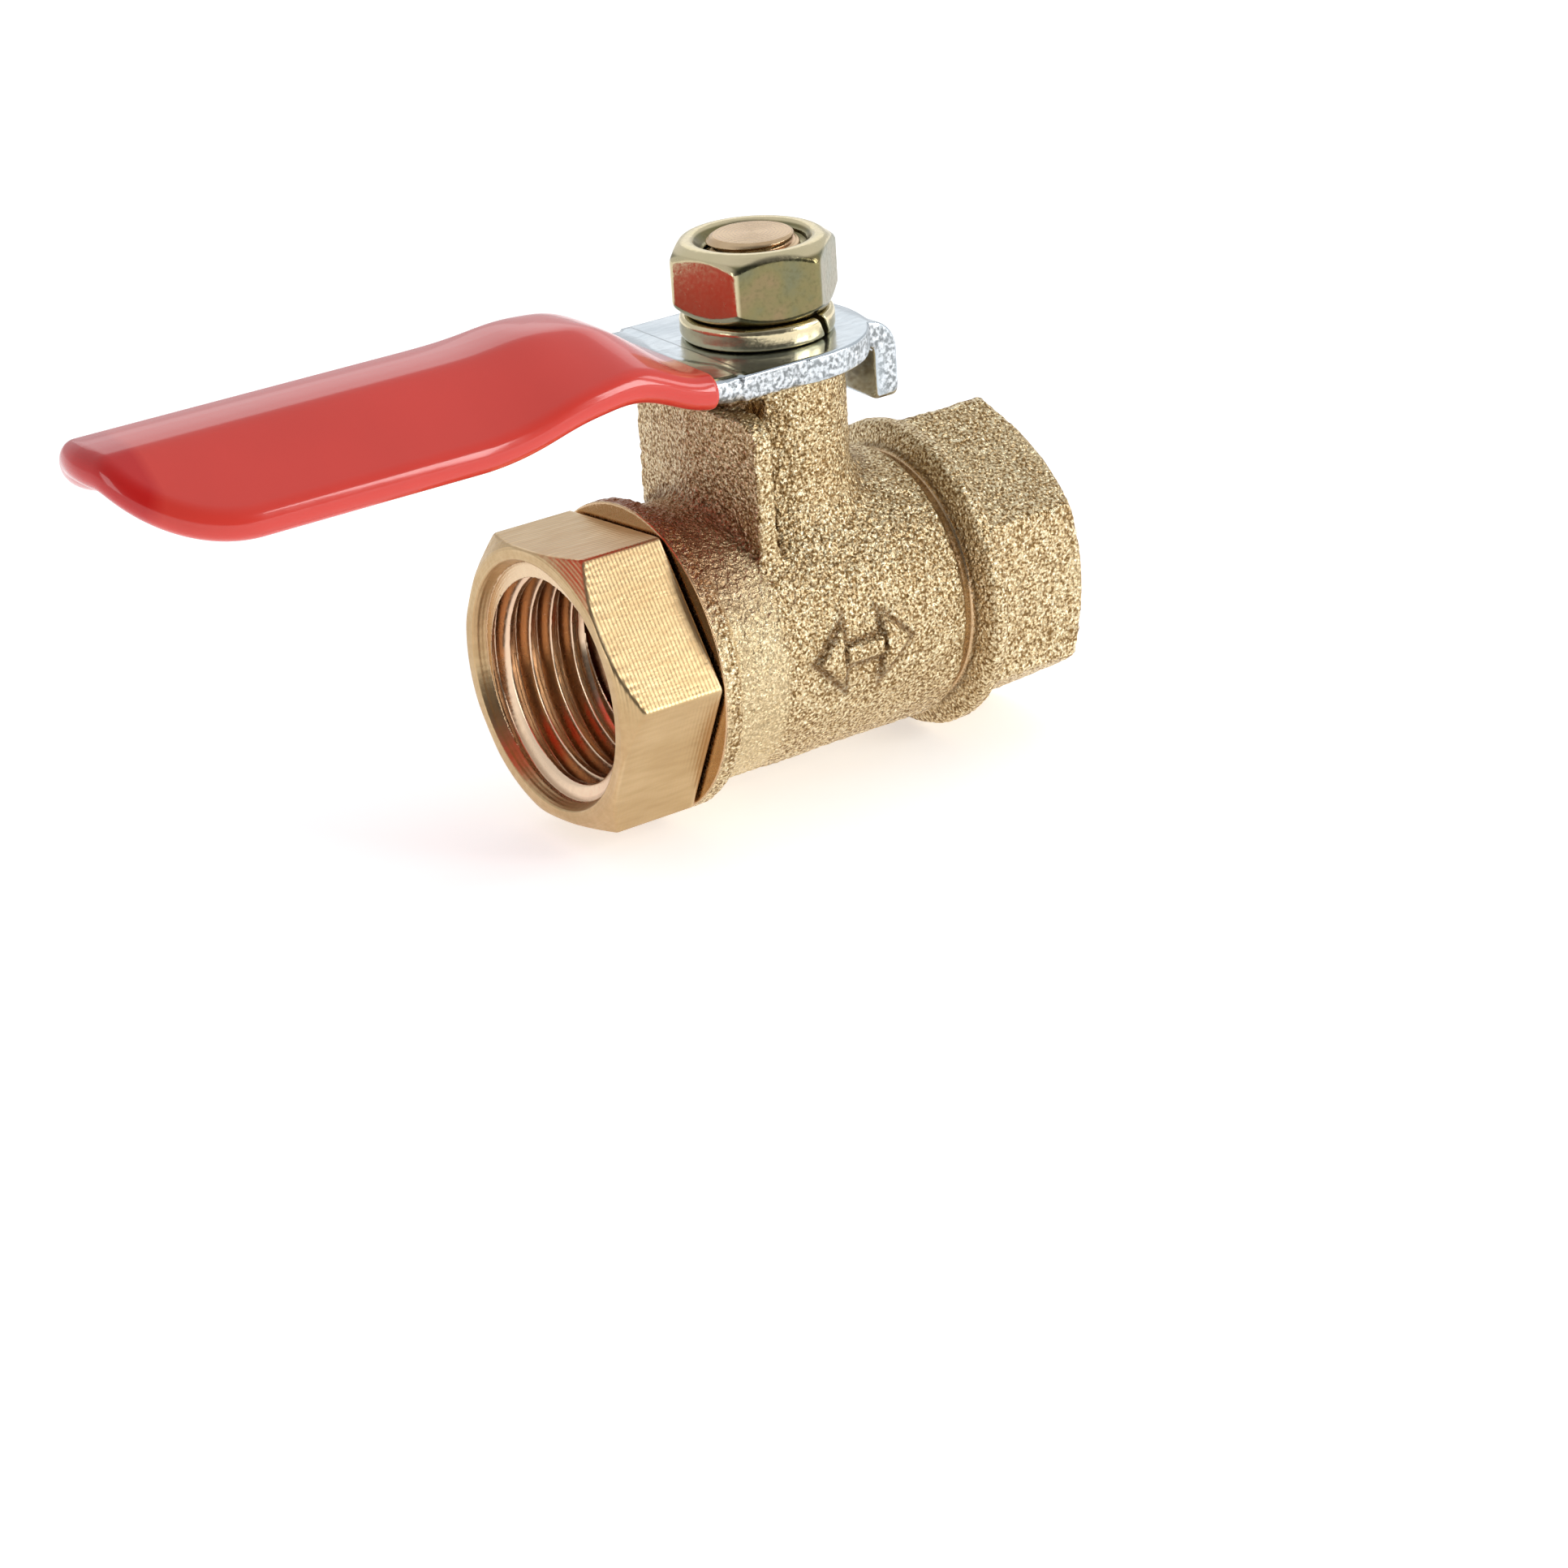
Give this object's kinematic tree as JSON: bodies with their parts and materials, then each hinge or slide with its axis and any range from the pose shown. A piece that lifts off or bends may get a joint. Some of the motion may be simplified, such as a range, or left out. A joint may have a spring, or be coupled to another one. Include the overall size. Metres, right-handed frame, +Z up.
{
  "type": "ball valve",
  "caption": "Small brass pipe ball valve: hexagon ends with female threads, and a flat lever with a red dipped grip that turns the ball.",
  "frame": {"origin": "centre of the ball, where the pipe's centre line crosses the stem's", "axes": "+X along the pipe from the end cap to the outlet, +Z up the stem; the lever lies along -X when the valve is open"},
  "size_m": [0.0554, 0.0174, 0.0303],
  "materials": {
    "forged_brass": "shot-blasted forging, sparkling fine grain",
    "machined_brass": "fine machined, satin",
    "polished_brass": "polished",
    "turned_brass": "turned, satin",
    "ptfe": "white PTFE",
    "seal_rubber": "black nitrile rubber",
    "bright_zinc": "bright blue-white zinc plating",
    "yellow_zinc": "yellow chromated zinc plating",
    "red_vinyl": "glossy dipped vinyl"
  },
  "bodies": {
    "body": {"valve_body": "forged_brass", "end_cap": "machined_brass", "inlet_seat_ring": "ptfe", "outlet_seat_ring": "ptfe", "stem_thrust_washer": "ptfe"},
    "lever": {"lever_plate": "bright_zinc", "handle_grip": "red_vinyl", "lock_washer": "yellow_zinc", "lever_nut": "yellow_zinc", "stem": "turned_brass", "ball": "polished_brass", "stem_lower_o_ring": "seal_rubber", "stem_upper_o_ring": "seal_rubber"}
  },
  "joints": [
    {"name": "lever_turn", "type": "hinge", "parent": "body", "child": "lever", "pos_m": [0, 0, 0], "axis": [0, 0, 1], "range_deg": [-90, 90]}
  ]
}
